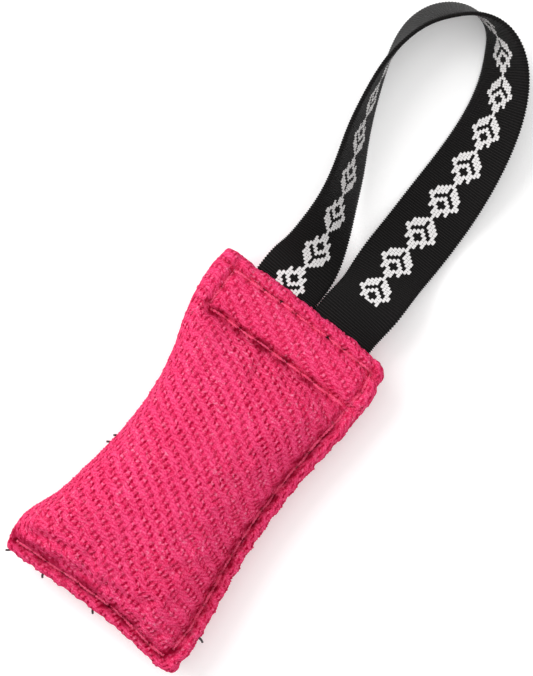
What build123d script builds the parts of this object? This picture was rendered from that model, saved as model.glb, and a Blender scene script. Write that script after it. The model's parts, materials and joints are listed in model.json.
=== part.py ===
from build123d import *
import math
import os

# A small bite-training pad for dogs. One piece of coarse cotton-nylon twill is folded along its
# left side, stuffed, and sewn shut along the bottom, the right side and the top. Both ends of a
# webbing loop are sewn into the top hem, side by side.
#
# Millimetres. The pad lies on its back: +Z is up, +Y runs along the pad to the handle, and the
# folded side is at -X. The origin is the middle of the flat patch that the pad rests on.

os.makedirs("parts", exist_ok=True)

# Cloth and filling
CLOTH = 2.0  # thickness of the twill
SEAM_HEIGHT = 13.5  # mid-height of the sewn edges above the resting surface
PAD_TOP = 62.3  # outer edge of the top hem, at mid-width
PAD_BOTTOM = -61.8  # outer edge of the bottom seam, at mid-width
FLANGE = 6.2  # thickness of the turned-in cloth outside a seam: four pressed layers
HEM = 8.0  # thickness of the top hem: four layers with the webbing between them
CORNER = 3.6  # corners of the pad, seen from above
TURN = 2.8  # radius of the turned-in cloth along the edges
HEM_DEPTH = 20.5  # from the hem's edge to where the stuffed body starts

# Webbing
WEB_WIDTH = 25.0
WEB_THICK = 1.6
WEB_SEWN = 17.0  # length of each end inside the hem
WEB_LEFT_X = -12.7  # middle of the left end
WEB_RIGHT_X = 12.9  # middle of the right end
FLEX_Y = PAD_TOP + 4.0  # the line that the loop bends about
FLEX_GAP = 1.2  # from that line to the sewn ends
LOOP_GAP = 1.7  # from that line to the loop's own solid

# Thread
STITCH_PITCH = 6.0
STITCH_LENGTH = 5.0
THREAD = 0.9

# Each row of stitches: (half thickness of the cloth there, its lines as points).
STITCH_ROWS = {
    "top_stitches": (HEM / 2, [[(-28.5, 57.3), (0, 57.5), (28.5, 56.8)]]),
    "hem_stitches": (HEM / 2, [[(-27.6, 43.6), (0, 43.4), (26.5, 42.9)]]),
    "hem_side_stitches": (
        HEM / 2,
        [
            [(-28.6, 44.2), (-28.7, 50.0), (-28.6, 56.4)],
            [(28.8, 43.4), (29.2, 49.6), (28.5, 55.6)],
        ],
    ),
    "side_stitches": (
        FLANGE / 2,
        [[(29.6, 40.5), (27.2, 22), (26.8, 3), (27.4, -20), (30.2, -45), (30.4, -56)]],
    ),
    "bottom_stitches": (FLANGE / 2, [[(-34.0, -58.6), (0, -58.4), (29.0, -59.6)]]),
}

# The stuffed body across its length: (y, fold side x, seam side x, half height).
BODY_SECTIONS = [
    (-57.4, -34.0, 29.0, 2.9),
    (-53.5, -37.0, 29.8, 7.6),
    (-41.0, -34.0, 28.6, 12.6),
    (-20.0, -29.2, 26.4, 15.2),
    (3.0, -27.3, 25.8, 15.8),
    (24.0, -29.8, 26.4, 14.2),
    (36.5, -33.4, 27.8, 10.0),
    (42.2, -34.8, 28.4, 3.8),
]

# The loop from its left end round to its right end: (x, y, lean, lift). Lean is the webbing's
# angle about its own run: 0 lies flat, 90 stands on edge, and more leans in over the loop. Lift is
# the gap between its lower edge and the resting surface.
LOOP_STATIONS = [
    (-12.4, FLEX_Y + LOOP_GAP, 3, 12.0),
    (-11.6, 74.0, 19, 9.0),
    (-11.2, 84.0, 40, 4.8),
    (-13.2, 95.0, 54, 2.2),
    (-17.0, 107.0, 62, 0.9),
    (-21.4, 118.0, 69, 0.3),
    (-25.2, 129.5, 77, 0.0),
    (-27.8, 141.0, 87, 0.0),
    (-28.6, 152.0, 98, 0.0),
    (-26.6, 162.0, 106, 0.0),
    (-20.8, 170.5, 107, 0.0),
    (-12.0, 174.2, 97, 0.0),
    (-3.5, 172.0, 78, 0.0),
    (3.6, 166.0, 61, 0.0),
    (8.6, 157.5, 50, 0.0),
    (11.8, 147.5, 41, 0.0),
    (13.7, 136.0, 31, 0.0),
    (14.5, 124.0, 20, 0.0),
    (14.6, 111.0, 8, 0.3),
    (14.2, 98.0, 4, 1.6),
    (13.6, 86.0, 10, 3.6),
    (12.9, 75.5, 14, 7.6),
    (12.7, FLEX_Y + LOOP_GAP, 3, 12.0),
]


def body_profile(fold_x, seam_x, half):
    """One cross-section of the stuffed body: round at the fold, drawn in at the seam."""
    width = seam_x - fold_x
    shape = [(0.0, 0.0), (0.09, 0.66), (0.27, 0.93), (0.5, 1.0), (0.75, 0.9), (0.93, 0.55), (1.0, 0.0)]
    for side in (1, -1):
        points = [(fold_x + width * u, SEAM_HEIGHT + side * half * v) for u, v in shape]
        Spline(*points)


def body_plane(y):
    """A plane across the pad at y, with +X to the right and +Z up."""
    return Plane(origin=(0, y, 0), x_dir=(1, 0, 0), z_dir=(0, -1, 0))


def lies_flat(edge):
    """Whether an edge keeps one height, as those round the top and bottom of a plate do."""
    return edge.bounding_box().size.Z < 0.01


def flat_edge_outline():
    """The pad's plan outline, which the pressed edges fill."""
    top_left = (-34.6, PAD_TOP + 0.2)
    top_right = (33.0, PAD_TOP - 1.9)
    bottom_right = (33.4, PAD_BOTTOM - 2.0)
    bottom_left = (-36.2, PAD_BOTTOM)
    Spline(top_left, (0, PAD_TOP), top_right)
    Spline(top_right, (33.9, 41), (30.8, 3), (34.2, -44), bottom_right)
    Spline(bottom_right, (0, PAD_BOTTOM), bottom_left)
    Spline(bottom_left, (-37.0, -53), (-31.5, -39), (-25.0, 3), (-30.8, 33), (-35.3, 47), top_left)


# The filling: loose fibre wadding, pressed into the shape of the space inside the cover.
with BuildPart() as filling:
    for y, fold_x, seam_x, half in BODY_SECTIONS:
        inner_half = max(half - CLOTH, 0.9)
        with BuildSketch(body_plane(y * 0.955 - 0.3)):
            with BuildLine():
                body_profile(fold_x + 1.15 * CLOTH, seam_x - 1.15 * CLOTH, inner_half)
            make_face()
    loft()
    split(bisect_by=Plane.XY.offset(CLOTH), keep=Keep.TOP)
filling.part.label = "filling"

# The two ends of the webbing, flat inside the top hem.
sewn_y = (PAD_TOP - WEB_SEWN + FLEX_Y - FLEX_GAP) / 2
sewn_length = FLEX_Y - FLEX_GAP - (PAD_TOP - WEB_SEWN)

with BuildPart() as handle_end_left:
    with Locations((WEB_LEFT_X, sewn_y, SEAM_HEIGHT)):
        Box(WEB_WIDTH, sewn_length, WEB_THICK)
handle_end_left.part.label = "handle_end_left"

with BuildPart() as handle_end_right:
    with Locations((WEB_RIGHT_X, sewn_y, SEAM_HEIGHT)):
        Box(WEB_WIDTH, sewn_length, WEB_THICK)
handle_end_right.part.label = "handle_end_right"

# The pressed edges outside the seams, rounded where the cloth turns in.
with BuildPart() as flat_edges:
    with BuildSketch(Plane.XY.offset(SEAM_HEIGHT - FLANGE / 2)) as outline:
        with BuildLine():
            flat_edge_outline()
        make_face()
        fillet(outline.vertices(), radius=CORNER)
    extrude(amount=FLANGE)
    fillet(flat_edges.edges().filter_by(GeomType.LINE, reverse=True).filter_by(lies_flat), radius=TURN)

# The top hem, thicker than the other edges and rounded on its three outer sides.
with BuildPart() as hem:
    with BuildSketch(Plane.XY.offset(SEAM_HEIGHT - HEM / 2)) as outline:
        with BuildLine():
            flat_edge_outline()
        make_face()
        fillet(outline.vertices(), radius=CORNER)
        with Locations((0, PAD_TOP - HEM_DEPTH)):
            Rectangle(100, 200, align=(Align.CENTER, Align.MAX), mode=Mode.SUBTRACT)
    extrude(amount=HEM)
    fillet(hem.edges().filter_by(GeomType.LINE, reverse=True).filter_by(lies_flat), radius=TURN)

# The cover: its pressed edges and hem, and the stuffed body with its flat underside.
with BuildPart() as cover:
    add(flat_edges.part)
    add(hem.part)
    for y, fold_x, seam_x, half in BODY_SECTIONS:
        with BuildSketch(body_plane(y)):
            with BuildLine():
                body_profile(fold_x, seam_x, half)
            make_face()
    loft()
    split(bisect_by=Plane.XY, keep=Keep.TOP)
    add(filling.part, mode=Mode.SUBTRACT)
    add(handle_end_left.part, mode=Mode.SUBTRACT)
    add(handle_end_right.part, mode=Mode.SUBTRACT)
cover.part.label = "cover"


def loop_middle(x, y, lean, lift):
    """The middle of the webbing at a station; lean is in radians."""
    resting = WEB_WIDTH / 2 * math.sin(lean) + WEB_THICK / 2 * abs(math.cos(lean))
    return Vector(x, y, resting + lift)


def loop_sections():
    """A section plane at each station, square to the run between its neighbours."""
    leans = [math.radians(lean) for x, y, lean, lift in LOOP_STATIONS]
    middles = [loop_middle(x, y, math.radians(lean), lift) for x, y, lean, lift in LOOP_STATIONS]
    planes = []
    for index, (middle, lean) in enumerate(zip(middles, leans)):
        if index == 0:
            run = Vector(0, 1, 0)
        elif index == len(middles) - 1:
            run = Vector(0, -1, 0)
        else:
            run = (middles[index + 1] - middles[index - 1]).normalized()
        outward = Vector(-run.Y, run.X, 0).normalized()
        rising = run.cross(outward)
        across = outward * math.cos(lean) + rising * math.sin(lean)
        planes.append(Plane(origin=middle, x_dir=across, z_dir=run))
    return planes


# The loop: one length of webbing that leaves the hem flat and stands on edge round its far end.
with BuildPart() as handle_loop:
    for plane in loop_sections():
        with BuildSketch(plane):
            Rectangle(WEB_WIDTH, WEB_THICK)
    loft()
handle_loop.part.label = "handle_loop"


def stitch_planes(points, level):
    """A plane for each stitch of a line, on both faces of the cloth; level is its half thickness."""
    line = Spline(*points, mode=Mode.PRIVATE)
    count = int(line.length / STITCH_PITCH)
    planes = []
    for index in range(count):
        place = (index + 0.5) / count
        spot = line @ place
        run = line % place
        for face in (1, -1):
            middle = (spot.X, spot.Y, SEAM_HEIGHT + face * level)
            planes.append(Plane(origin=middle, x_dir=(run.X, run.Y, 0), z_dir=(0, 0, face)))
    return planes


sub_parts = [cover, filling, handle_end_left, handle_end_right, handle_loop]

# The rows of lock stitches that close the cover and hold the webbing in the hem.
for name, (level, lines) in STITCH_ROWS.items():
    with BuildPart() as stitches:
        for points in lines:
            with BuildSketch(*stitch_planes(points, level)):
                SlotOverall(STITCH_LENGTH, THREAD)
            extrude(amount=THREAD)
    stitches.part.label = name
    sub_parts.append(stitches)

for sub_part in sub_parts:
    export_step(sub_part.part, f"parts/{sub_part.part.label}.step")
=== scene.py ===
import json
import math

import bpy
import numpy as np
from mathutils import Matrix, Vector
from mathutils.bvhtree import BVHTree


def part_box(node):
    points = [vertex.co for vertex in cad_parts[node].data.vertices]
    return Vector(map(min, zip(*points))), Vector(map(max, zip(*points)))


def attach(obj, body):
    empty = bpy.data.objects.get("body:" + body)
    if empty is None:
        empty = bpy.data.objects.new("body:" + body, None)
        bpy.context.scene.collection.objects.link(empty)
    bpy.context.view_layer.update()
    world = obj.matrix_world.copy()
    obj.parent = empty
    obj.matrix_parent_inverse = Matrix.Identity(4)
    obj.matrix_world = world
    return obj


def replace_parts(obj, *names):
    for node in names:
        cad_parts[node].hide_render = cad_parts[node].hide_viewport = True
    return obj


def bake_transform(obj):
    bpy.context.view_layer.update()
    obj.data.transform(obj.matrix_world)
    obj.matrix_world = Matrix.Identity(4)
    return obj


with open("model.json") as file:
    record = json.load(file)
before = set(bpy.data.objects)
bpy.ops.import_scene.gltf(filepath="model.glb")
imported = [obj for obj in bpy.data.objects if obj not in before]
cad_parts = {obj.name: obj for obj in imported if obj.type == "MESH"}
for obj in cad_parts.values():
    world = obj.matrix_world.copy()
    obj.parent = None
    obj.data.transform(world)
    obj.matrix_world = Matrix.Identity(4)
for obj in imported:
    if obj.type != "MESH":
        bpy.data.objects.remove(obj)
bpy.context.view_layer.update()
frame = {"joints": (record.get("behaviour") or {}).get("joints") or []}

# The looks of a stuffed bite-training pad with a webbing loop. Shapes are worked out in
# millimetres in the CAD frame and turned into metres when a mesh is made.

MM = 0.001
JOINT = frame["joints"][0]
FLEX_Y = JOINT["pos_m"][1] / MM
SEAM_Z = JOINT["pos_m"][2] / MM
HEM_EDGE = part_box("cover")[1].y / MM - 0.2

# The cloth: yarn counts over one face of the pad, and mesh columns and rows for each yarn.
WARPS = 40
PICKS = 122
COLUMNS_PER_WARP = 5
ROWS_PER_PICK = 4
REPEAT = 4  # a warp yarn shows over one pick in four
BAKE_MARGIN = 0.008  # the empty border of the layer that a bake uses

# How unevenly the yarns were spun: a size for each crossing of two yarns, with a few spare rows and
# columns round the face, because the yarns wander a little. Each pick draws its own size later.
SPARE = 4
RNG = np.random.default_rng(17)
CELL_SIZE = RNG.normal(1.0, 0.22, (PICKS + 2 * SPARE, 2 * WARPS + 2 * SPARE))

# Half thicknesses of the pressed edges, and how far the side seam lies inside its edge.
HEM_HALF = 4.0
EDGE_HALF = 3.3
SEAM_HALF = 1.5
SEAM_INSET = 5.3
EDGE_TURN = 2.9  # how far in from an edge the turned cloth reaches its full thickness
FOLD_TURN = 4.2
HEM_LINE = 42.6  # the lower seam across the hem
LOWEST = 0.05  # nothing of the cover reaches lower than this
CROWN = 14.2  # how far the stuffed body rises above the seams' level
BODY_RAMP = 40.0  # how far from the bottom seam the body reaches its full height
HEM_RAMP = 38.0
PLAIN_LOW = -62.5  # the bottom end before its outline bends it
LYING = SEAM_Z - 0.35  # the underside hangs this far below the seams at most: the floor flattens it
REST_BLEND = 0.45  # how softly the flat patch meets the round underside

# The cloth simulation: the grid of each face, its steps, how much of the broad movement is taken
# out again, and the most that a wrinkle may move the cloth.
CAGE_COLUMNS = 25
CAGE_ROWS = 45
CLOTH_STEPS = 20
BROAD_SHARE = 0.9
MOST_WRINKLE = 2.0

# The webbing.
WEB_WIDTH = 25.0
WEB_THICK = 1.6


def curve_through(points):
    """A smooth function through a few (position, value) points: a natural cubic spline."""
    xs, ys = np.array(sorted(points), float).T
    step = np.diff(xs)
    size = len(xs)
    system = np.eye(size)
    right = np.zeros(size)
    for i in range(1, size - 1):
        system[i, i - 1:i + 2] = step[i - 1], 2 * (step[i - 1] + step[i]), step[i]
        right[i] = 6 * ((ys[i + 1] - ys[i]) / step[i] - (ys[i] - ys[i - 1]) / step[i - 1])
    bend = np.linalg.solve(system, right)

    def value(x):
        x = np.clip(x, xs[0], xs[-1])
        i = np.clip(np.searchsorted(xs, x) - 1, 0, size - 2)
        a = (xs[i + 1] - x) / step[i]
        b = 1 - a
        curved = ((a ** 3 - a) * bend[i] + (b ** 3 - b) * bend[i + 1]) * step[i] ** 2 / 6
        return a * ys[i] + b * ys[i + 1] + curved

    return value


# The pad seen from above: its folded side, its sewn side, and its two ends.
fold_x = curve_through([(-62, -35.6), (-54, -37.6), (-45, -36.0), (-38, -33.3), (-24, -30.2),
                        (-10, -27.9), (3, -27.2), (14, -27.9), (26, -30.2), (37, -33.5),
                        (46, -35.2), (55, -35.6), (63, -34.2)])
edge_x = curve_through([(-64, 33.0), (-55, 34.6), (-43, 34.2), (-30, 32.5), (-15, 31.1), (6, 30.8),
                        (20, 31.7), (35, 33.6), (46, 34.0), (56, 33.2), (63, 31.0)])
top_y = curve_through([(-36, HEM_EDGE + 0.8), (-31, HEM_EDGE + 0.7), (-25, HEM_EDGE + 0.4),
                       (-16, HEM_EDGE + 0.5), (0, HEM_EDGE), (20, HEM_EDGE - 0.5), (34, HEM_EDGE - 2.4)])
bottom_y = curve_through([(-38, -61.9), (-25, -62.0), (-10, -61.6), (5, -61.9), (20, -63.3),
                          (30, -64.2), (35, -63.4)])
bottom_seam = curve_through([(-38, -57.6), (-20, -56.6), (0, -56.6), (12, -57.0), (22, -59.3),
                             (31, -60.0), (35, -60.0)])


def smooth(low, high, x):
    t = np.clip((x - low) / (high - low), 0, 1)
    return t * t * (3 - 2 * t)


def rise(distance, reach, round_by, steep):
    """How a stuffed form rises from a seam: 0 at the seam, 1 once it is reach away."""
    t = np.clip(distance / reach, 0, 1)
    return (1 - (1 - t) ** round_by) ** steep


def wavy(x, seed, size):
    """Gentle irregularity along a line, from -1 to 1, with waves about size long."""
    total = np.zeros_like(np.asarray(x, float))
    rng = np.random.default_rng(seed)
    for octave in (1.0, 1.7, 2.9):
        total = total + np.sin(x * 2 * math.pi * octave / size + rng.uniform(0, 6.28)) / octave
    return total / 1.9


def bell(distance, reach):
    """1 on a line, falling away to nothing beyond about twice the reach."""
    return np.exp(-((distance / reach) ** 2))


def pressed_edges(x, y, in_edge, in_low, in_high):
    """Half the thickness of the sewn edges: a round welt outside the seams, and the flat hem."""
    hem = smooth(HEM_LINE - 1.2, HEM_LINE + 1.2, y)
    outer = np.minimum(np.minimum(in_edge, in_low), in_high)
    along = y * (in_edge < in_low) + x * (in_edge >= in_low)
    uneven = 1 + 0.18 * wavy(along, 31, 13)
    welt = SEAM_HALF + (EDGE_HALF - SEAM_HALF) * bell(outer - 2.4, 1.7) * uneven
    box = SEAM_HALF + (HEM_HALF - SEAM_HALF) * rise(np.abs(in_high - 5.0), 3.4, 2.0, 0.6)
    fold_seam = 1 - 0.3 * bell(x + 28.4, 1.2)
    side_seam = 1 - 0.42 * bell(in_edge - SEAM_INSET, 1.3)
    pressed = welt * (1 - hem) + box * fold_seam * side_seam * hem
    line = bell(y - HEM_LINE, 1.4) * smooth(-32, -27, x)
    return pressed * (1 - 0.5 * line)


def stuffed_body(x, y, x_fold, x_edge):
    """How far the filling lifts the cloth: round at the fold, drawn in at the seams, and loose
    beside the fold."""
    in_fold = x - x_fold
    across = np.clip(in_fold / (x_edge - SEAM_INSET - x_fold), 0, 1)
    round_fold = rise(across, 0.52, 2.4, 0.52)
    round_seam = rise(1 - across, 0.40, 2.5, 0.72)
    low_seam = bottom_seam(x)
    along = rise(y - low_seam, BODY_RAMP, 2.6, 0.52) * rise(HEM_LINE - y, HEM_RAMP, 2.5, 0.62)
    body = CROWN * round_fold * round_seam * along
    low_corner = smooth(9, 0, in_fold) * smooth(-50, -60, y)
    loose = 1.8 * smooth(0, 4, in_fold) * smooth(14, 2, in_fold)
    loose = loose * smooth(HEM_LINE + 7, HEM_LINE - 4, y) * rise(y - low_seam, 6, 2, 0.6)
    return body + loose * (1 - low_corner)


def half_thickness(x, y, x_fold, x_edge, y_low, y_high):
    """Half the pad's thickness above the seams' level at a point of its plan."""
    in_edge, in_low, in_high = x_edge - x, y - y_low, y_high - y
    rounded = rise(x - x_fold, FOLD_TURN, 2.0, 0.5)
    for distance in (in_edge, in_low, in_high):
        rounded = rounded * rise(distance, EDGE_TURN, 2.0, 0.5)
    return rounded * pressed_edges(x, y, in_edge, in_low, in_high) + stuffed_body(x, y, x_fold, x_edge)


def puckers(x, y, x_edge):
    """Small folds that the tight seams draw into the stuffed cloth, as a height."""
    from_bottom = y - bottom_seam(x)
    from_side = x_edge - SEAM_INSET - x
    from_hem = HEM_LINE - y
    ends = np.sin(x * 0.78 + 0.5 * np.sin(x * 0.31) + 0.09 * from_bottom)
    ends = ends * bell(from_bottom - 3.5, 5.0)
    sides = np.sin(y * 0.66 + 1.3 * np.sin(y * 0.13)) * bell(from_side - 2.5, 3.2) * (np.abs(y) < 60)
    hems = np.sin(x * 0.52 + 0.8 * np.sin(x * 0.2)) * bell(from_hem - 3, 4.5)
    drag = np.sin(0.92 * from_bottom - 0.20 * x + 0.8 * np.sin(0.09 * x)) * smooth(1, 4, from_bottom)
    drag = drag * smooth(17, 6, from_bottom) * smooth(16, -12, x) * smooth(0, 6, x - fold_x(y))
    return 0.42 * ends + 0.34 * sides + 0.34 * hems + 1.05 * drag


def even_out(points, count):
    """Moves each row's points so that they are evenly spaced along it, as yarns in cloth are."""
    length = np.zeros(points.shape[:2])
    length[:, 1:] = np.cumsum(np.linalg.norm(np.diff(points, axis=1), axis=2), axis=1)
    made = np.zeros((points.shape[0], count, 3))
    for row in range(points.shape[0]):
        at = np.linspace(0, length[row, -1], count)
        for axis in range(3):
            made[row, :, axis] = np.interp(at, length[row], points[row, :, axis])
    return made


def face_sheet(side, columns, rows):
    """One face of the cover as a grid of points, from the fold to the sewn side and bottom to top."""
    fine_columns, fine_rows = 420, 520
    a = (1 - np.cos(np.linspace(0, math.pi, fine_columns))) / 2
    b = (1 - np.cos(np.linspace(0, math.pi, fine_rows))) / 2
    a, b = np.meshgrid(a, b)
    y_plain = PLAIN_LOW + b * (HEM_EDGE - PLAIN_LOW)
    x_fold, x_edge = fold_x(y_plain), edge_x(y_plain) + 0.36 * wavy(y_plain, 5, 8)
    x = x_fold + a * (x_edge - x_fold)
    y_low, y_high = bottom_y(x) + 0.34 * wavy(x, 9, 7), top_y(x) + 0.3 * wavy(x, 8, 9)
    y = y_low + b * (y_high - y_low)
    high = half_thickness(x, y, x_fold, x_edge, y_low, y_high)
    high = high + puckers(x, y, x_edge) * smooth(1.5, 4.5, high)
    crease = bell(high, 0.9)
    turned = smooth(2.5, 0, x_edge - x) * smooth(0.02, 0.06, b) * smooth(0.98, 0.94, b)
    x = x - 1.1 * crease * turned
    y = y - 1.3 * crease * smooth(2.5, 0, y_high - y) + 1.1 * crease * smooth(2.5, 0, y - y_low)
    if side < 0:
        high = LYING - REST_BLEND * np.logaddexp(0, (LYING - high) / REST_BLEND)
    points = np.stack([x, y, SEAM_Z + side * high], axis=2)
    points = even_out(points, columns)
    return even_out(points.transpose(1, 0, 2), rows).transpose(1, 0, 2)


def ring(front, back):
    """Both faces as one band of points round the pad: back edge to fold to front edge."""
    return np.concatenate([back[:, :0:-1], front], axis=1)


def corners_of(grid):
    """The four corners of each cell of a grid, in order round the cell."""
    return np.stack([grid[:-1, :-1], grid[:-1, 1:], grid[1:, 1:], grid[1:, :-1]], axis=2)


def band_mesh(name, band):
    """A closed mesh from a band whose first and last rows are each pressed flat together."""
    rows, size = band.shape[:2]
    half = size // 2
    index = np.arange(rows * size).reshape(rows, size)
    index[:, -1] = index[:, 0]
    for row in (0, rows - 1):
        index[row, :half] = index[row, :half:-1][:half]
    faces = corners_of(index).reshape(-1, 4)
    mesh = bpy.data.meshes.new(name)
    mesh.from_pydata((band.reshape(-1, 3) * MM).tolist(), [], faces.tolist())
    mesh.validate()
    return mesh, index, faces


def blurred(field, passes):
    """A field over the band, smoothed; its columns meet each other and its rows end at the seams."""
    for _ in range(passes):
        up = np.concatenate([field[:1], field[:-1]])
        down = np.concatenate([field[1:], field[-1:]])
        ring_part = field[:, :-1]
        left, right = np.roll(ring_part, 1, axis=1), np.roll(ring_part, -1, axis=1)
        sides = np.concatenate([left + right, (left + right)[:, :1]], axis=1)
        field = 0.2 * (field + up + down + sides)
    return field


def simulate(cage, pins):
    """Blows the cage up with cloth simulation, and returns its vertices afterwards."""
    modifier = cage.modifiers.new("cloth", "CLOTH")
    settings = modifier.settings
    settings.vertex_group_mass = pins.name
    settings.quality = 7
    settings.mass = 0.25
    settings.tension_stiffness = 22
    settings.compression_stiffness = 22
    settings.shear_stiffness = 9
    settings.bending_stiffness = 0.25
    settings.shrink_min = -0.035
    settings.use_pressure = True
    settings.uniform_pressure_force = 4.0
    settings.effector_weights.gravity = 0.0
    modifier.collision_settings.use_collision = False
    for step in range(1, CLOTH_STEPS + 1):
        bpy.context.scene.frame_set(step)
    made = cage.evaluated_get(bpy.context.evaluated_depsgraph_get()).data
    after = vectors_of(made.vertices, "co")
    bpy.context.scene.frame_set(1)
    return after


def inflate(front, back):
    """Blows the sewn cover up a little with cloth simulation, and returns how the cloth wrinkles.
    The solver works on a model eight times full size, where its usual settings suit cloth. The
    broad change of outline is taken out, because the sewn pattern already has the stuffed outline."""
    grow = 8.0
    band = ring(front, back)
    mesh, index, _ = band_mesh("cover_cage", band)
    mesh.transform(((grow, 0, 0, 0), (0, grow, 0, 0), (0, 0, grow, 0), (0, 0, 0, 1)))
    cage = bpy.data.objects.new("cover_cage", mesh)
    bpy.context.scene.collection.objects.link(cage)
    x, y = band[..., 0], band[..., 1]
    seam = edge_x(y) - SEAM_INSET - x
    held = (seam < 1.2) | (y - bottom_seam(x) < 1.2) | (y > HEM_LINE - 1.0)
    pins = cage.vertex_groups.new(name="pins")
    pins.add([int(i) for i in np.unique(index[held])], 1.0, "REPLACE")
    after = simulate(cage, pins) / grow / MM
    bpy.data.objects.remove(cage)
    moved = after[index.reshape(-1)].reshape(band.shape) - band
    moved = moved - BROAD_SHARE * blurred(moved, 14)
    free = smooth(0, 9, y - bottom_seam(x)) * smooth(0, 9, HEM_LINE - y) * smooth(0, 5, seam)
    moved *= free[..., None]
    moved[..., 0] *= smooth(0, 12, x - fold_x(y))
    length = np.linalg.norm(moved, axis=2, keepdims=True)
    return moved * np.minimum(1, MOST_WRINKLE / np.maximum(length, 1e-6))


def refine(field, rows, columns):
    """Spreads a coarse field over a finer grid, smoothly both ways."""
    def spread(values, count):
        at = np.linspace(0, values.shape[0] - 1, count)
        i = np.clip(at.astype(int), 0, values.shape[0] - 2)
        t = (at - i)[:, None, None]
        p = [values[np.clip(i + k, 0, values.shape[0] - 1)] for k in (-1, 0, 1, 2)]
        return 0.5 * (2 * p[1] + (p[2] - p[0]) * t + (2 * p[0] - 5 * p[1] + 4 * p[2] - p[3]) * t ** 2
                      + (3 * p[1] - p[0] - 3 * p[2] + p[3]) * t ** 3)
    return spread(spread(field, rows).transpose(1, 0, 2), columns).transpose(1, 0, 2)


def weave_height(u, v):
    """Relief of the twill, in millimetres: long weft floats, and a warp nub over each fourth pick."""
    i, j = np.floor(u), np.floor(v)
    fu, fv = u - i - 0.5, v - j - 0.5
    step = np.mod(i + j, REPEAT)
    yarn = np.cos(math.pi * fv) ** 1.4
    float_at = np.clip((step - 1 + fu + 0.5) / (REPEAT - 1), 0, 1)
    dented = 1 - 0.55 * np.abs(2 * fu) ** 2.5
    weft = 0.25 * yarn * dented * np.sin(math.pi * float_at) ** 0.4 - 0.12
    nub = 0.70 * np.sqrt(np.maximum(0.0, 1 - (fu / 0.36) ** 2)) * np.cos(math.pi * fv * 0.9) - 0.36
    row = np.clip(j + SPARE, 0, CELL_SIZE.shape[0] - 1).astype(int)
    column = np.clip(i + WARPS + SPARE, 0, CELL_SIZE.shape[1] - 1).astype(int)
    uneven = CELL_SIZE[row, column]
    return np.where(step == 0, np.maximum(nub, -0.42), weft) * uneven


# Each row of stitches, as its lines seen from above.
STITCH_ROWS = {
    "top_stitches": [[(-28.5, 57.2), (0, 57.5), (28.4, 56.6)]],
    "hem_stitches": [[(-27.0, 42.4), (0, 42.6), (27.0, 42.2)]],
    "hem_side_stitches": [
        [(-28.4, 44.2), (-28.6, 50.0), (-28.4, 56.4)],
        [(28.7, 43.2), (29.1, 49.6), (28.3, 55.4)],
    ],
    "side_stitches": [[(28.4, 41.0), (26.3, 20), (25.5, 4), (26.1, -18), (28.9, -42), (28.9, -56)]],
    "bottom_stitches": [[(-34.0, -57.2), (-15, -56.5), (5, -56.7), (20, -58.8), (27.5, -59.6)]],
}
STITCH_PITCH = 6.0
HOLE_DEPTH = 1.35
STITCH_POINTS = 17
STRAND_TURNS = 2.25  # twists of the thread along one stitch
STRAND_APART = 0.24
STRAND_RADIUS = 0.38
THREAD_SUNK = 0.44  # how far a stitch lies pressed into the cloth
SHALLOW_ROWS = ("top_stitches", "hem_side_stitches")  # rows that draw the cloth in only a little


def stitch_ends(points):
    """The needle holes along a row of stitches, roughly evenly spaced near a smooth line through
    points, as a hand guides the cloth."""
    points = np.array(points, float)
    run = np.concatenate([[0], np.cumsum(np.linalg.norm(np.diff(points, axis=0), axis=1))])
    line_x = curve_through(list(zip(run, points[:, 0])))
    line_y = curve_through(list(zip(run, points[:, 1])))
    count = max(2, int(round(run[-1] / STITCH_PITCH)) + 1)
    at = np.linspace(0, run[-1], count)
    at[1:-1] += 0.8 * wavy(at[1:-1], 41, 7)
    stray = 0.30 * wavy(at, 42, 11)
    return np.stack([line_x(at) + stray, line_y(at) + stray], axis=1)


def fall_off(squared, spread):
    """1 at a distance of 0, falling away as a normal curve does; the distance comes squared."""
    return np.exp(-squared / (2 * spread ** 2))


def needle_marks(points):
    """How deep the stitches draw the cloth in at each point, a pit at each hole and a line between,
    and how much painted shade darkens the cloth beside them and under the body, from 0 to 1."""
    plan = points[:, :2]
    depth = np.zeros(len(points))
    painted_shade = np.zeros(len(points))
    lines = [(name in SHALLOW_ROWS, line) for name, lines in STITCH_ROWS.items() for line in lines]
    for shallow, line in lines:
        holes = stitch_ends(line)
        # Each row's depth, how strongly painted shade darkens the cloth beside it, and how far that
        # painted shade reaches.
        line_depth, shade, reach = (0.42, 0.36, 1.0) if shallow else (0.66, 0.72, 1.9)
        for hole in holes:
            near = ((plan - hole) ** 2).sum(axis=1)
            depth = np.maximum(depth, HOLE_DEPTH * fall_off(near, 0.72))
            painted_shade = np.maximum(painted_shade, (0.3 + shade) * fall_off(near, 1.2))
        for start, end in zip(holes[:-1], holes[1:]):
            run = end - start
            t = np.clip(((plan - start) @ run) / (run @ run), 0, 1)
            near = ((plan - start - t[:, None] * run) ** 2).sum(axis=1)
            depth = np.maximum(depth, line_depth * fall_off(near, 0.95))
            painted_shade = np.maximum(painted_shade, shade * fall_off(near, reach))
    x, y = plan.T
    # Painted shade: uneven along the seams, fainter at the right end of the hem, and laid along the valley
    # under the stuffed body at the bottom seam.
    uneven_shade = np.clip(0.9 + 0.5 * wavy(x - y, 43, 9), 0.35, 1.4)
    end_of_hem = smooth(12, 22, x) * bell(y - HEM_LINE, 2.5)
    painted_shade = painted_shade * uneven_shade * (1 - 0.6 * end_of_hem)
    depth = depth * (1 - 0.35 * end_of_hem)
    shade_under_body = bell(y - bottom_seam(x) - 1.6, 2.6) * smooth(14, -6, x)
    return depth, np.maximum(painted_shade, 0.7 * shade_under_body)


def new_object(name, mesh):
    made = bpy.data.objects.new(name, mesh)
    bpy.context.scene.collection.objects.link(made)
    for polygon in mesh.polygons:
        polygon.use_smooth = True
    return made


def vectors_of(values, field):
    """One field of a mesh's vertices or normals, three numbers each."""
    found = np.zeros(len(values) * 3)
    values.foreach_get(field, found)
    return found.reshape(-1, 3)


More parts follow.
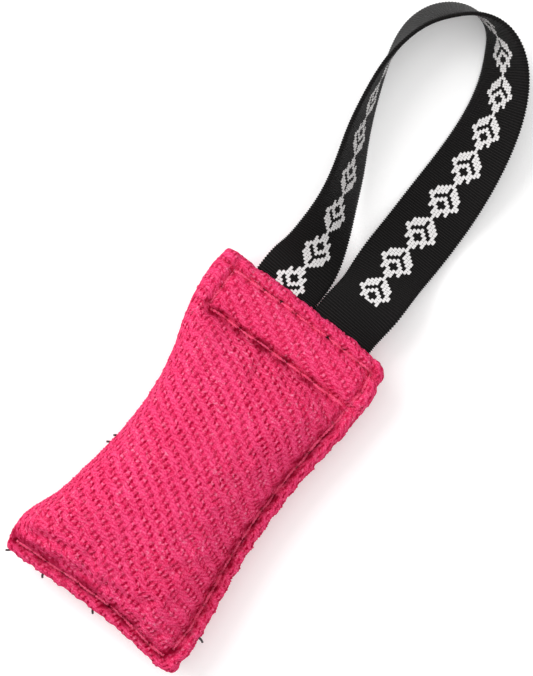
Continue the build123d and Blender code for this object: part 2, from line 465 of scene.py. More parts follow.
def cloth_places(rows, columns):
    """Where each point of the band lies in the cloth, in warps and picks. The yarns wander a little."""
    u = np.tile(np.arange(-(columns - 1), columns) / COLUMNS_PER_WARP, (rows, 1))
    v = np.tile(np.arange(rows)[:, None] / ROWS_PER_PICK, (1, 2 * columns - 1))
    warp_stray = 0.16 * wavy(v, 3, 23) + 0.10 * wavy(v + 3 * u, 4, 5.3) + 0.06 * wavy(v * 1.7 - u, 21, 2.9)
    pick_stray = 0.22 * wavy(u, 6, 17) + 0.14 * wavy(u + 2 * v, 7, 6.1) + 0.07 * wavy(u * 2.1 + v, 22, 3.1)
    return u + warp_stray, v + pick_stray


def cloth_relief(u, v):
    """The height of the cloth's face over the band: the weave, stronger in places, and slow lumps."""
    pick_sizes = RNG.normal(1.0, 0.16, PICKS + 2 * SPARE)
    pick_size = pick_sizes[np.clip(np.floor(v).astype(int), 0, len(pick_sizes) - 1)]
    patch = 0.8 + 0.22 * wavy(0.6 * u + 0.9 * v, 12, 31)
    lumps = 0.12 * wavy(u * 1.9 + v * 0.4, 13, 16) + 0.10 * wavy(v * 1.2 - u * 0.5, 14, 13)
    return weave_height(u, v) * pick_size * patch + lumps


def cover_piece(name, keep, mesh, faces, u, v, normal, painted_shade):
    """One face of the cover, from the kept columns of the band, with its cloth and bake layers."""
    cells = faces.reshape(u.shape[0] - 1, u.shape[1] - 1, 4)[:, keep]
    rows, columns = cells.shape[:2]
    used, corner = np.unique(cells.reshape(-1, 4), return_inverse=True)
    place = vectors_of(mesh.vertices, "co")
    part = bpy.data.meshes.new(name)
    part.from_pydata(place[used].tolist(), [], corner.reshape(-1, 4).tolist())
    cloth = part.uv_layers.new(name="cloth")
    bake = part.uv_layers.new(name="OFBake")
    cloth.data.foreach_set("uv", corners_of(np.stack([u, v], axis=-1))[:, keep].reshape(-1))
    flat_u, flat_v = np.meshgrid(np.arange(columns + 1) / columns, np.arange(rows + 1) / rows)
    flat = np.stack([flat_u, flat_v], axis=-1) * (1 - 2 * BAKE_MARGIN) + BAKE_MARGIN
    bake.data.foreach_set("uv", corners_of(flat).reshape(-1))
    # The painted shade beside the seams, kept as a layer that the cloth's material reads.
    part.attributes.new("painted_shade", "FLOAT", "POINT").data.foreach_set("value", painted_shade[used])
    made = new_object(name, part)
    part.normals_split_custom_set_from_vertices(normal[used].tolist())
    return made


def build_cover():
    """The cover's back and front faces with their weave, from one closed band of cloth."""
    columns, rows = WARPS * COLUMNS_PER_WARP + 1, PICKS * ROWS_PER_PICK + 1
    band = ring(face_sheet(1, columns, rows), face_sheet(-1, columns, rows))
    moved = inflate(face_sheet(1, CAGE_COLUMNS, CAGE_ROWS), face_sheet(-1, CAGE_COLUMNS, CAGE_ROWS))
    band = band + refine(moved, rows, band.shape[1])
    mesh, index, faces = band_mesh("cover_all", band)
    place = vectors_of(mesh.vertices, "co") / MM
    normal = vectors_of(mesh.vertex_normals, "vector")
    u, v = cloth_places(rows, columns)
    height = np.zeros(len(place))
    height[index.reshape(-1)] = cloth_relief(u, v).reshape(-1)
    place = place + normal * height[:, None]
    marks, painted_shade = needle_marks(place)
    level = smooth(0.15, 0.6, np.abs(normal[:, 2]))
    place[:, 2] -= np.sign(normal[:, 2]) * marks * level
    place[:, 2] = np.maximum(place[:, 2], LOWEST)
    mesh.vertices.foreach_set("co", (place * MM).reshape(-1))
    mesh.update()
    normal = vectors_of(mesh.vertex_normals, "vector")
    fold = columns - 1
    halves = (("cover_back", slice(0, fold)), ("cover_front", slice(fold, 2 * fold)))
    return [cover_piece(name, keep, mesh, faces, u, v, normal, painted_shade) for name, keep in halves], band


def build_filling(band):
    """The wadding inside, a little smaller than the cover all round."""
    coarse = band[::2 * ROWS_PER_PICK, ::COLUMNS_PER_WARP]
    centre = np.array([-1.0, -2.0, SEAM_Z])
    inner = centre + (coarse - centre) * (0.76, 0.70, 0.72)
    inner[..., 1] -= 5.0  # the hem holds no filling
    mesh, _, _ = band_mesh("filling_wadding", inner)
    return new_object("filling_wadding", mesh)


# The loop from its left end round to its right end: (x, y, lean, lift). Lean is the webbing's angle
# about its own run in degrees, and lift is the gap between its lower edge and the floor.
LOOP_GAP = 1.7
LOOP_STATIONS = [
    (-10.9, FLEX_Y + LOOP_GAP, 6, 11.7),
    (-10.3, 74.0, 22, 8.7),
    (-11.2, 84.0, 43, 4.5),
    (-13.7, 95.0, 58, 2.0),
    (-17.5, 107.0, 66, 0.8),
    (-21.8, 118.0, 72, 0.2),
    (-25.3, 129.5, 79, 0.0),
    (-27.8, 141.0, 87, 0.0),
    (-28.6, 152.0, 98, 0.0),
    (-26.6, 162.0, 106, 0.0),
    (-20.6, 170.0, 107, 0.0),
    (-12.0, 173.7, 97, 0.0),
    (-3.5, 172.0, 78, 0.0),
    (3.6, 166.0, 61, 0.0),
    (8.6, 157.5, 50, 0.0),
    (11.8, 147.5, 41, 0.0),
    (13.7, 136.0, 31, 0.0),
    (14.5, 124.0, 20, 0.0),
    (14.6, 111.0, 8, 0.3),
    (14.2, 98.0, 4, 1.6),
    (13.6, 86.0, 10, 3.6),
    (13.5, 75.5, 12, 7.9),
    (12.6, FLEX_Y + LOOP_GAP, 3, 12.0),
]
WEB_SEWN = 17.0  # length of each end inside the hem
RIB = 0.84  # one cross rib of the webbing
ROWS_PER_RIB = 4
WEB_COLUMNS = 24
PLAIN_WEB = 12.5  # length of the right leg beside the hem without pattern
UNDERSIDE = 100.0  # added to the pattern's coordinate on the strap's underside
BAKE_LANES = 6  # the strap's bake layer holds it in this many lengths, side by side


def webbing_line():
    """The middle line of the whole strap, from end to end: places, and lean angles in radians."""
    rows = []
    for x, y, lean, lift in LOOP_STATIONS:
        lean = math.radians(lean)
        resting = WEB_WIDTH / 2 * math.sin(lean) + WEB_THICK / 2 * abs(math.cos(lean))
        rows.append((x, y, resting + lift, lean))
    sewn = HEM_EDGE - WEB_SEWN
    left = [(-11.5, sewn, SEAM_Z, 0.0), (-11.2, HEM_EDGE - 7, SEAM_Z, 0.0)]
    right = [(12.1, HEM_EDGE - 7, SEAM_Z, 0.0), (12.0, sewn, SEAM_Z, 0.0)]
    rows = np.array(left + rows + right)
    run = np.concatenate([[0], np.cumsum(np.linalg.norm(np.diff(rows[:, :3], axis=0), axis=1))])
    lines = [curve_through(list(zip(run, rows[:, k]))) for k in range(4)]
    at = np.arange(0, run[-1], RIB / ROWS_PER_RIB)
    return at, np.stack([line(at) for line in lines], axis=1)


def strap_directions(centre, lean):
    """At each place of the strap's middle line: the way across it, and the way out of its face."""
    run = np.gradient(centre, axis=0)
    run /= np.linalg.norm(run, axis=1)[:, None]
    outward = np.stack([-run[:, 1], run[:, 0], np.zeros(len(run))], axis=1)
    outward /= np.linalg.norm(outward, axis=1)[:, None]
    rising = np.cross(run, outward)
    rising = np.where(rising[:, 2:] < 0, -rising, rising)
    across = outward * np.cos(lean)[:, None] + rising * np.sin(lean)[:, None]
    return across, np.cross(run, across)


def strap_section():
    """The strap's cross-section, as (side, level) pairs from -1 to 1 round it: one flat face, a
    rounded edge, the other face and the other edge."""
    flat = [1 - 2 * k / WEB_COLUMNS for k in range(WEB_COLUMNS + 1)]
    edge = [0.8 * math.sin(math.radians(angle)) for angle in (60, 0, -60)]
    section = [(side, 1.0) for side in flat]
    section += [(-1.0, level) for level in edge]
    section += [(-side, -1.0) for side in flat]
    section += [(1.0, -level) for level in edge]
    return section


def strap_grid(at, line, section):
    """The strap's surface, one row for each place of its middle line. Cross ribs scallop its edges,
    and it cups a little near the hem."""
    centre = line[:, :3]
    across, face = strap_directions(centre, line[:, 3])
    rib = 0.5 - 0.5 * np.cos(2 * math.pi * at / RIB)
    near_hem = smooth(98, 63, centre[:, 1])
    half = WEB_WIDTH / 2 - 0.6 - 0.7 * near_hem
    columns = []
    for side, level in section:
        edge = abs(side) ** 14
        scallop = (0.30 * (1 - abs(level)) + 0.45 * rib) * (abs(side) > 0.999)
        wide = side * half + np.sign(side) * scallop
        cup = 1.1 * near_hem * (side ** 2 - 0.4)
        ribbed = np.sign(level) * (0.26 * rib - 0.13) * (1 - 0.5 * edge)
        thick = WEB_THICK / 2 * level * (1 - 0.22 * edge) + ribbed
        columns.append(centre + across * wide[:, None] + face * (thick - cup)[:, None])
    grid = np.stack(columns, axis=1)
    grid[..., 2] = np.maximum(grid[..., 2], 0.03)
    return grid


def strap_cloth_layer(at, section):
    """The pattern's coordinates at each corner, in millimetres across and along the strap. The
    underside lies far off in the first of them, where the weave has no pattern."""
    side, level = np.array(section + section[:1]).T
    uv = np.zeros((len(at), len(side), 2))
    uv[..., 0] = side * WEB_WIDTH / 2 + np.where(level < -0.9, UNDERSIDE, 0.0)
    uv[..., 1] = at[-1] - at[:, None]
    return ring_corners(uv)


def strap_bake_layer(at, size):
    """Coordinates for a bake at each corner: the strap cut into lengths that lie side by side."""
    share = at / at[-1] * BAKE_LANES
    lane = np.minimum(np.floor(share), BAKE_LANES - 1)[:-1, None]
    turn = 0.02 + 0.96 * np.linspace(0, 1, size + 1)
    uv = np.zeros((len(at) - 1, size, 4, 2))
    for corner, (down, right) in enumerate(((0, 0), (1, 0), (1, 1), (0, 1))):
        row = np.arange(len(at) - 1) + down
        uv[:, :, corner, 0] = (lane + turn[None, right:size + right]) / BAKE_LANES
        uv[:, :, corner, 1] = 0.01 + 0.98 * (share[row][:, None] - lane)
    return uv.reshape(-1, 2)


def ring_corners(grid):
    """The four corners of each cell of a grid that closes on itself sideways."""
    corners = np.stack([grid[:-1, :-1], grid[1:, :-1], grid[1:, 1:], grid[:-1, 1:]], axis=2)
    return corners.reshape((-1,) + grid.shape[2:])


def build_strap():
    """The webbing as one strap, from the end of one sewn end to the end of the other."""
    at, line = webbing_line()
    section = strap_section()
    grid = strap_grid(at, line, section)
    rows, size = grid.shape[:2]
    index = np.arange(rows * size).reshape(rows, size)
    wrapped = np.concatenate([index, index[:, :1]], axis=1)
    faces = ring_corners(wrapped).reshape(-1, 4).tolist()
    caps = [index[0].tolist(), index[-1][::-1].tolist()]
    mesh = bpy.data.meshes.new("handle_webbing")
    mesh.from_pydata((grid.reshape(-1, 3) * MM).tolist(), [], faces + caps)
    cap_corners = np.zeros((2 * size, 2))
    layers = {"cloth": strap_cloth_layer(at, section), "OFBake": strap_bake_layer(at, size)}
    for name, corners in layers.items():
        layer = mesh.uv_layers.new(name=name)
        layer.data.foreach_set("uv", np.concatenate([corners, cap_corners]).reshape(-1))
    return new_object("handle_webbing", mesh)


def tube(points, radii, sides):
    """Vertices and faces of a closed tube along points, its radius given at each."""
    points = np.array(points, float)
    run = np.gradient(points, axis=0)
    run /= np.linalg.norm(run, axis=1)[:, None]
    side = np.cross(run, (0.13, 0.21, 0.97))
    side /= np.linalg.norm(side, axis=1)[:, None]
    up = np.cross(side, run)
    vertices, faces = [], []
    for i, (point, radius) in enumerate(zip(points, radii)):
        for k in range(sides):
            angle = 2 * math.pi * k / sides
            vertices.append(point + radius * (math.cos(angle) * side[i] + math.sin(angle) * up[i]))
    for i in range(len(points) - 1):
        for k in range(sides):
            a, b = i * sides + k, i * sides + (k + 1) % sides
            faces.append((a, b, b + sides, a + sides))
    faces.append(tuple(range(sides))[::-1])
    faces.append(tuple(range((len(points) - 1) * sides, len(points) * sides)))
    return vertices, faces


def joined(name, parts):
    """One object from several (vertices, faces) parts, in millimetres."""
    vertices, faces = [], []
    for part_vertices, part_faces in parts:
        start = len(vertices)
        vertices += [tuple(v * MM) for v in part_vertices]
        faces += [tuple(i + start for i in f) for f in part_faces]
    mesh = bpy.data.meshes.new(name)
    mesh.from_pydata(vertices, [], faces)
    mesh.update()
    return new_object(name, mesh)


def height_on(surface, side, x, y):
    """The height of the cloth's face at a point of the plan, seen from the side that it faces."""
    above = Vector((x, y, SEAM_Z + side * 60)) * MM
    hit = surface.ray_cast(above, Vector((0, 0, -side)))[0]
    return hit.z / MM if hit else SEAM_Z + side * 2.0


def stitch(surface, side, start, end, number):
    """One stitch between two needle holes: two twisted strands that lie on the cloth."""
    run = (end - start) / np.linalg.norm(end - start)
    aside = np.array([-run[1], run[0]])
    t = np.linspace(0.02, 0.98, STITCH_POINTS)[:, None]
    turn = t * STRAND_TURNS * 2 * math.pi + number
    slack = 0.22 * math.sin(number * 2.3 + side) * np.sin(math.pi * t)
    arch = np.sin(math.pi * t[:, 0])
    strands = []
    for strand in (-1, 1):
        plan = start * (1 - t) + end * t + (strand * STRAND_APART * np.cos(turn) + slack) * aside
        level = side * np.array([height_on(surface, side, x, y) for x, y in plan])
        smoothed = np.convolve(np.pad(level, 3, mode="edge"), np.ones(7) / 7, mode="valid")
        level = np.maximum(smoothed, level - 0.25)
        rising = 0.42 * arch ** 0.5 - THREAD_SUNK + strand * 0.14 * np.sin(turn[:, 0])
        points = np.column_stack([plan, side * (level + rising)])
        strands.append(tube(points, STRAND_RADIUS * (0.72 + 0.28 * arch), 7))
    return strands


def build_threads(cover):
    """Each row of stitches on both faces: thick soft thread that dips into the cloth at each hole."""
    surface = {}
    for side, piece in ((1, cover["cover_front"]), (-1, cover["cover_back"])):
        mesh = piece.data
        places = [vertex.co for vertex in mesh.vertices]
        surface[side] = BVHTree.FromPolygons(places, [polygon.vertices[:] for polygon in mesh.polygons])
    made = []
    for name, lines in STITCH_ROWS.items():
        parts = []
        for side in (1, -1):
            for holes in map(stitch_ends, lines):
                for number, (start, end) in enumerate(zip(holes[:-1], holes[1:])):
                    parts += stitch(surface[side], side, start, end, number)
        made.append(joined(name.replace("_stitches", "_thread"), parts))
    return made


def build_loose_ends():
    """Snipped ends of the dark inner thread that stand out of the edges."""
    ends = [
        ((-26.6, -12.4, 13.6), (-28.2, -12.5, 14.4), (-29.4, -13.4, 14.6)),
        ((-26.4, -9.4, 14.6), (-27.9, -9.4, 15.4), (-28.7, -10.3, 15.6)),
        ((32.0, -47.9, 14.4), (34.4, -47.6, 15.2), (35.4, -48.5, 14.6)),
        ((-33.4, -60.0, 13.4), (-34.2, -61.6, 13.2), (-35.3, -62.2, 12.9)),
        ((-20.6, -60.2, 13.0), (-20.9, -62.0, 12.4), (-20.0, -62.6, 12.1)),
        ((-0.8, -60.2, 13.2), (-0.2, -61.9, 12.6), (0.5, -62.4, 12.4)),
    ]
    parts = []
    for start, middle, end in ends:
        start, middle, end = (np.array(p) for p in (start, middle, end))
        t = np.linspace(0, 1, 9)[:, None]
        points = (1 - t) ** 2 * start + 2 * t * (1 - t) * middle + t * t * end
        parts.append(tube(points, np.linspace(0.50, 0.36, 9), 7))
    return joined("loose_thread_ends", parts)


class Graph:
    """A short way to write a material's nodes."""

    def __init__(self, name):
        self.material = bpy.data.materials.new(name)
        self.material.use_nodes = True
        self.tree = self.material.node_tree
        self.shader = self.tree.nodes["Principled BSDF"]

    def node(self, kind, **values):
        made = self.tree.nodes.new(kind)
        for key, value in values.items():
            setattr(made, key, value)
        return made

    def put(self, socket, value):
        if isinstance(value, bpy.types.NodeSocket):
            self.tree.links.new(value, socket)
        else:
            socket.default_value = value

    def math(self, operation, *values):
        made = self.node("ShaderNodeMath", operation=operation)
        for socket, value in zip(made.inputs, values):
            self.put(socket, value)
        return made.outputs[0]

    def plus(self, first, second):
        return self.math("ADD", first, second)

    def minus(self, first, second):
        return self.math("SUBTRACT", first, second)

    def times(self, first, second):
        return self.math("MULTIPLY", first, second)

    def ramp(self, value, low, high, start=0.0, end=1.0):
        made = self.node("ShaderNodeMapRange", interpolation_type="SMOOTHSTEP")
        for socket, item in zip(made.inputs, (value, low, high, start, end)):
            self.put(socket, item)
        return made.outputs[0]

    def mix(self, share, first, second, blend="MIX"):
        made = self.node("ShaderNodeMix", data_type="RGBA", blend_type=blend)
        self.put(made.inputs[0], share)
        self.put(made.inputs[6], first)
        self.put(made.inputs[7], second)
        return made.outputs[2]

    def noise(self, vector, scale, detail=2.0, rough=0.5):
        made = self.node("ShaderNodeTexNoise")
        self.put(made.inputs["Vector"], vector)
        made.inputs["Scale"].default_value = scale
        made.inputs["Detail"].default_value = detail
        made.inputs["Roughness"].default_value = rough
        return made.outputs[0]

    def cloth_place(self):
        """The two cloth coordinates, and the place in the object."""
        layer = self.node("ShaderNodeUVMap", uv_map="cloth")
        parts = self.node("ShaderNodeSeparateXYZ")
        self.put(parts.inputs[0], layer.outputs[0])
        place = self.node("ShaderNodeTexCoord").outputs["Object"]
        return parts.outputs[0], parts.outputs[1], place

    def vector(self, *values):
        made = self.node("ShaderNodeCombineXYZ")
        for socket, value in zip(made.inputs, values):
            self.put(socket, value)
        return made.outputs[0]

    def bump(self, height, strength, distance):
        made = self.node("ShaderNodeBump")
        self.put(made.inputs["Height"], height)
        made.inputs["Strength"].default_value = strength
        made.inputs["Distance"].default_value = distance
        self.put(self.shader.inputs["Normal"], made.outputs[0])


def rgb(red, green, blue):
    """A colour given as it looks on a screen, 0 to 255, in the shader's linear values."""
    def linear(value):
        value = value / 255
        return value / 12.92 if value <= 0.04045 else ((value + 0.055) / 1.055) ** 2.4
    return linear(red), linear(green), linear(blue), 1.0


def twill_cell(g, u, v):
    """Which two yarns cross at a point, how far it is from their middles, and a chance for them."""
    i, j = g.math("FLOOR", u), g.math("FLOOR", v)
    fu = g.minus(g.math("FRACT", u), 0.5)
    fv = g.minus(g.math("FRACT", v), 0.5)
    step = g.math("FLOORED_MODULO", g.plus(i, j), float(REPEAT))
    chance = g.node("ShaderNodeTexWhiteNoise", noise_dimensions="2D")
    g.put(chance.inputs["Vector"], g.vector(i, j, 0.0))
    return j, fu, g.math("ABSOLUTE", fu), g.math("ABSOLUTE", fv), step, chance.outputs["Value"]


def beside_nub(g, fu, off_u, step, nub, weft):
    """How far a point lies from the side of the nearest warp nub, along the weft, in warps."""
    after = g.times(g.math("LESS_THAN", step, 1.5), g.plus(fu, 0.5))
    after = g.plus(after, g.math("GREATER_THAN", step, 1.5))
    before = g.times(g.math("GREATER_THAN", step, 2.5), g.minus(0.5, fu))
    before = g.plus(before, g.math("LESS_THAN", step, 2.5))
    on_weft = g.times(weft, g.math("MINIMUM", after, before))
    on_nub = g.times(nub, g.minus(0.5, off_u))
    return g.plus(on_weft, on_nub)


def twill_gap_shade(g, v, place, aside, off_u, off_v, chance, weft):
    """Painted shade in the gaps: a ragged dark pit beside each nub, and faint valleys between the yarns.
    """
    ragged = g.times(g.minus(g.noise(place, 700.0, 2.0), 0.5), 0.44)
    wide = g.math("POWER", g.math("DIVIDE", aside, 0.27), 2.0)
    tall = g.math("POWER", g.math("DIVIDE", off_v, 0.56), 2.0)
    far = g.math("SQRT", g.plus(wide, tall))
    pit = g.ramp(g.plus(far, g.times(ragged, 1.6)), 1.06, 0.64)
    pit = g.times(pit, g.ramp(chance, 0.0, 0.8, 0.52, 1.0))
    pit = g.times(pit, g.ramp(g.noise(place, 60.0, 2.0), 0.34, 0.58, 0.66, 1.0))
    pit = g.times(pit, g.ramp(v, 0.83 * PICKS, 0.85 * PICKS, 1.0, 0.72))
    valley = g.ramp(g.plus(off_v, ragged), 0.26, 0.56)
    valley = g.times(valley, g.ramp(chance, 0.2, 0.9, 0.05, 0.34))
    dent = g.ramp(g.plus(off_u, ragged), 0.30, 0.56)
    dent = g.times(dent, g.ramp(chance, 0.8, 0.1, 0.10, 0.48))
    return g.math("MAXIMUM", pit, g.times(g.math("MAXIMUM", valley, dent), weft))


def twill_colour(g, u, v, j, place, off_v, weft, fibre):
    """The pink of the weft floats: yarn by yarn, with a painted highlight along their crowns, painted
    shade along the twill's diagonals of nubs, and light and dark fibres.
    """
    diagonal = g.minus(g.plus(u, v), 1.0)
    band = g.math("COSINE", g.times(diagonal, 2 * math.pi / REPEAT))
    yarn = g.noise(g.vector(g.times(u, 0.12), g.plus(j, 0.37), 0.0), 1.7, 1.0)
    soft = g.noise(place, 34.0, 3.0, 0.6)
    mottle = g.noise(place, 1900.0, 2.0, 0.6)
    colour = g.mix(g.ramp(yarn, 0.3, 0.7), rgb(222, 38, 92), rgb(238, 58, 115))
    colour = g.mix(g.ramp(soft, 0.35, 0.7, 0.0, 0.55), colour, rgb(224, 42, 88))
    # Painted shade: darker along the twill's diagonals of nubs, where the floats dip.
    colour = g.mix(g.ramp(band, -0.6, 1.0, 0.0, 0.38), colour, rgb(208, 14, 66))
    # Painted highlight along the crowns of the weft floats, midway between the nubs.
    lit = g.times(weft, g.ramp(off_v, 0.42, 0.05))
    lit = g.times(lit, g.ramp(band, 0.5, -0.9, 0.0, 0.40))
    colour = g.mix(lit, colour, rgb(250, 92, 142))
    colour = g.mix(g.times(g.ramp(fibre, 0.50, 0.72), 0.62), colour, rgb(255, 122, 166))
    colour = g.mix(g.times(g.ramp(fibre, 0.46, 0.26), 0.55), colour, rgb(200, 12, 62))
    colour = g.mix(g.ramp(mottle, 0.50, 0.68, 0.0, 0.62), colour, rgb(255, 100, 150))
    return g.mix(g.ramp(mottle, 0.50, 0.32, 0.0, 0.55), colour, rgb(196, 6, 62))


def twill_highlights_and_flecks(g, colour, place, nub, off_u, off_v, chance):
    """Painted highlights on the crowns of the warp nubs, and flecks of pale fibre."""
    nub_highlight = g.times(nub, g.ramp(off_u, 0.34, 0.08, 0.0, 0.62))
    nub_highlight = g.times(nub_highlight, g.ramp(off_v, 0.48, 0.15))
    nub_highlight = g.times(nub_highlight, g.ramp(chance, 0.2, 1.0, 0.15, 1.0))
    # Painted highlight on each nub's crown.
    colour = g.mix(nub_highlight, colour, rgb(255, 122, 164))
    fleck = g.ramp(g.noise(place, 850.0, 3.0, 0.7), 0.54, 0.70)
    fleck = g.times(fleck, g.ramp(g.noise(place, 90.0, 3.0, 0.6), 0.42, 0.64, 0.15, 1.0))
    return g.mix(g.times(fleck, 0.60), colour, rgb(250, 160, 192))


def twill_painted_shade(g, colour, place):
    """Painted shade: the cloth's colour darkened beside the seams and under the body, in broken patches.
    """
    painted_shade = g.node("ShaderNodeAttribute", attribute_name="painted_shade").outputs["Fac"]
    broken = g.times(g.minus(g.noise(place, 130.0, 4.0, 0.7), 0.5), 2.8)
    shade_amount = g.times(painted_shade, g.plus(0.85, broken))
    # Painted shade: a deep red mixed into the colour where the seam shade is strong.
    return g.mix(g.ramp(shade_amount, 0.10, 0.95, 0.0, 0.92), colour, rgb(144, 0, 38))


def twill_material():
    """Hot pink cotton-nylon twill: yarn by yarn colour, painted shade in the gaps, on the diagonals and
    beside the seams, painted highlights on the yarn crowns, pale fibre flecks, twisted yarns.
    """
    g = Graph("pink_twill")
    u, v, place = g.cloth_place()
    j, fu, off_u, off_v, step, chance = twill_cell(g, u, v)
    nub = g.math("LESS_THAN", step, 0.5)
    weft = g.minus(1.0, nub)
    aside = beside_nub(g, fu, off_u, step, nub, weft)
    dark = twill_gap_shade(g, v, place, aside, off_u, off_v, chance, weft)
    along_yarn = g.vector(g.times(u, 1.3), g.times(v, 6.5), nub)
    fibre = g.noise(along_yarn, 2.4, 4.0, 0.75)
    colour = twill_colour(g, u, v, j, place, off_v, weft, fibre)
    colour = twill_highlights_and_flecks(g, colour, place, nub, off_u, off_v, chance)
    # Painted shade: a deep red in the pits beside the nubs and in the valleys between the yarns.
    colour = g.mix(g.times(dark, 0.96), colour, rgb(164, 0, 46))
    g.put(g.shader.inputs["Base Color"], twill_painted_shade(g, colour, place))
    g.put(g.shader.inputs["Roughness"], g.ramp(fibre, 0.2, 0.8, 0.78, 0.95))
    g.shader.inputs["Specular IOR Level"].default_value = 0.03
    slant = g.plus(g.times(u, 3.2), g.times(v, 3.0))
    twist = g.math("SINE", g.times(slant, 6.283))
    height = g.plus(g.times(twist, 0.12), g.times(fibre, 1.5))
    height = g.minus(height, g.times(dark, 0.8))
    g.bump(height, 0.6, 0.00024)
    return g.material


def woven_diamonds(g, u, v, place, plain_end):
    """Where white yarns show: bricks that make up a row of diamonds, each round at its corners."""
    wide, long, repeat = 1.13, 2 * RIB, 8.0
    across = g.math("DIVIDE", u, wide)
    nearest = g.math("ROUND", across)
    column = g.math("ABSOLUTE", nearest)
    brick = g.times(g.math("FLOORED_MODULO", column, 2.0), 0.5)
    along = g.plus(g.math("DIVIDE", v, long), brick)
    row = g.math("FLOORED_MODULO", g.math("FLOOR", along), repeat)
    row = g.math("ABSOLUTE", g.minus(row, repeat / 2))
    far = g.plus(column, g.times(row, 1.35))
    diamond = g.times(g.math("LESS_THAN", far, 6.0), g.math("GREATER_THAN", far, 3.3))
    core = g.math("LESS_THAN", far, 1.1)
    motif = g.times(g.math("MAXIMUM", diamond, core), g.math("GREATER_THAN", v, plain_end))
    off_u = g.math("ABSOLUTE", g.minus(across, nearest))
    off_v = g.math("ABSOLUTE", g.minus(g.math("FRACT", along), 0.5))
    ragged = g.times(g.minus(g.noise(place, 1500.0, 2.0), 0.5), 0.20)
    side = g.math("POWER", g.times(off_u, 2.0), 4.0)
    end = g.math("POWER", g.times(off_v, 1.95), 6.0)
    yarn = g.ramp(g.plus(g.plus(side, end), ragged), 1.30, 0.62)
    return g.times(motif, yarn)


def webbing_material(plain_end):
    """Black ribbed webbing with a woven white row of diamonds along its middle. The last
    plain_end millimetres of the strap are plain."""
    g = Graph("black_webbing")
    u, v, place = g.cloth_place()
    white = woven_diamonds(g, u, v, place, plain_end)
    rib = g.minus(g.math("FRACT", g.math("DIVIDE", v, RIB)), 0.5)
    rib = g.ramp(g.math("ABSOLUTE", rib), 0.12, 0.5)
    grain = g.math("ABSOLUTE", g.minus(g.math("FRACT", g.math("DIVIDE", u, 0.565)), 0.5))
    fine = g.noise(g.vector(g.times(u, 5.0), g.times(v, 1.6), 0.0), 2.0, 3.0, 0.6)
    black = g.mix(g.ramp(fine, 0.3, 0.75), rgb(10, 9, 9), rgb(42, 39, 39))
    # Painted shade: near black in the grooves between the cross ribs, and a little darker between the warp
    # yarns.
    black = g.mix(g.times(rib, 0.95), black, rgb(2, 2, 2))
    black = g.mix(g.times(g.ramp(grain, 0.2, 0.5), 0.35), black, rgb(10, 9, 10))
    pale = g.mix(g.ramp(fine, 0.3, 0.75), rgb(206, 203, 203), rgb(250, 249, 248))
    g.put(g.shader.inputs["Base Color"], g.mix(white, black, pale))
    g.put(g.shader.inputs["Roughness"], g.ramp(fine, 0.2, 0.8, 0.52, 0.74))
    g.shader.inputs["Specular IOR Level"].default_value = 0.12
    g.shader.inputs["Sheen Weight"].default_value = 0.02
    g.shader.inputs["Sheen Roughness"].default_value = 0.4
    height = g.plus(g.times(fine, 0.5), g.times(white, 1.1))
    height = g.minus(height, g.times(grain, 0.6))
    height = g.minus(height, g.times(rib, 0.9))
    g.bump(height, 0.7, 0.0002)
    return g.material


def thread_material(name, base, deep):
    """Twisted sewing thread, with fibres and darker patches at random."""
    g = Graph(name)
    place = g.node("ShaderNodeTexCoord").outputs["Object"]
    fibre = g.noise(place, 1800.0, 3.0, 0.6)
    patch = g.noise(place, 160.0, 2.0)
    colour = g.mix(g.ramp(fibre, 0.35, 0.7), deep, base)
    g.put(g.shader.inputs["Base Color"], g.mix(g.ramp(patch, 0.4, 0.7, 0.0, 0.4), colour, deep))
    g.put(g.shader.inputs["Roughness"], g.ramp(fibre, 0.2, 0.8, 0.55, 0.85))
    g.shader.inputs["Sheen Weight"].default_value = 0.2
    g.bump(fibre, 0.5, 0.0001)
    return g.material


def wadding_material():
    """Loose white fibre wadding."""
    g = Graph("wadding")
    place = g.node("ShaderNodeTexCoord").outputs["Object"]
    fluff = g.noise(place, 260.0, 5.0, 0.7)
    colour = g.mix(g.ramp(fluff, 0.3, 0.7), rgb(205, 202, 194), rgb(246, 244, 238))
    g.put(g.shader.inputs["Base Color"], colour)
    g.put(g.shader.inputs["Roughness"], g.ramp(fluff, 0.2, 0.8, 0.85, 1.0))
    g.bump(fluff, 0.8, 0.0006)
    return g.material


def place_camera():
    """Straight above the pad, rolled so that the pad lies on a slant with its handle up and right."""
    data = bpy.data.cameras.new("camera")
    data.sensor_fit = "VERTICAL"
    data.sensor_height = 24.0
    data.lens = 84.35
    camera = bpy.data.objects.new("camera", data)
    camera.location = (-6.675 * MM, 45.4 * MM, 0.8)
    camera.rotation_euler = (0.0, 0.0, math.radians(36.0))
    bpy.context.scene.collection.objects.link(camera)
    bpy.context.scene.camera = camera


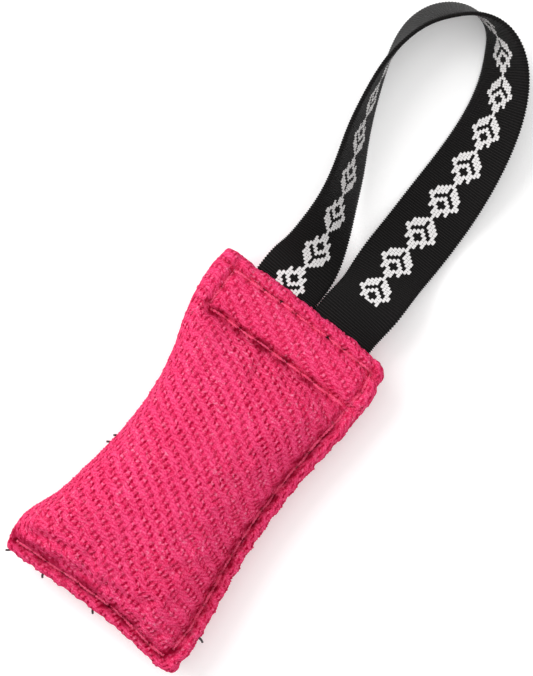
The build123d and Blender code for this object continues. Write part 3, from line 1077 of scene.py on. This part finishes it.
def place_lights():
    """Soft studio light, a little stronger from the folded side and the bottom end."""
    lamps = {
        "key": ((-0.80, 0.10, 0.75), 0.8, 9.0),
        "top": ((-0.05, 0.30, 1.25), 1.0, 5.0),
        "fill": ((0.80, -0.25, 0.75), 1.0, 2.2),
    }
    for name, (place, size, power) in lamps.items():
        data = bpy.data.lights.new(name, "AREA")
        data.shape = "SQUARE"
        data.size = size
        data.energy = power
        lamp = bpy.data.objects.new(name, data)
        lamp.location = place
        aim = Vector((0.0, 0.03, 0.0)) - Vector(place)
        lamp.rotation_euler = aim.to_track_quat("-Z", "Y").to_euler()
        bpy.context.scene.collection.objects.link(lamp)
    world = bpy.data.worlds.new("studio")
    world.use_nodes = True
    world.node_tree.nodes["Background"].inputs[0].default_value = (1.0, 0.99, 0.985, 1.0)
    world.node_tree.nodes["Background"].inputs[1].default_value = 0.50
    bpy.context.scene.world = world
    bpy.context.scene.view_settings.view_transform = "Standard"


def place_floor():
    """A pale floor with a faint glow of its own, which keeps the shadows light."""
    mesh = bpy.data.meshes.new("floor")
    reach = 3.0
    corners = [(-reach, -reach, 0), (reach, -reach, 0), (reach, reach, 0), (-reach, reach, 0)]
    mesh.from_pydata(corners, [], [(0, 1, 2, 3)])
    floor = bpy.data.objects.new("floor", mesh)
    floor.location.z = -0.0002
    bpy.context.scene.collection.objects.link(floor)
    g = Graph("pale_floor")
    g.shader.inputs["Base Color"].default_value = (0.93, 0.93, 0.93, 1.0)
    g.shader.inputs["Emission Color"].default_value = (1.0, 1.0, 1.0, 1.0)
    g.shader.inputs["Emission Strength"].default_value = 0.16
    g.shader.inputs["Roughness"].default_value = 0.95
    mesh.materials.append(g.material)


def main():
    place_camera()
    place_lights()
    place_floor()
    cloth = twill_material()
    webbing = webbing_material(WEB_SEWN + PLAIN_WEB)
    pink_thread = thread_material("pink_thread", rgb(248, 92, 140), rgb(212, 38, 88))
    dark_thread = thread_material("dark_thread", rgb(58, 44, 48), rgb(28, 20, 24))
    pieces, band = build_cover()
    cover = {piece.name: piece for piece in pieces}
    for piece in pieces:
        piece.data.materials.append(cloth)
        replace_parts(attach(piece, "pad"), "cover")
    filling = build_filling(band)
    filling.data.materials.append(wadding_material())
    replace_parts(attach(filling, "pad"), "filling")
    for thread in build_threads(cover):
        thread.data.materials.append(pink_thread)
        node = thread.name.replace("_thread", "_stitches")
        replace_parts(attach(thread, "pad"), node)
    ends = build_loose_ends()
    ends.data.materials.append(dark_thread)
    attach(ends, "pad")
    strap = build_strap()
    strap.data.materials.append(webbing)
    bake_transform(strap)
    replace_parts(strap, "handle_loop", "handle_end_left", "handle_end_right")


main()
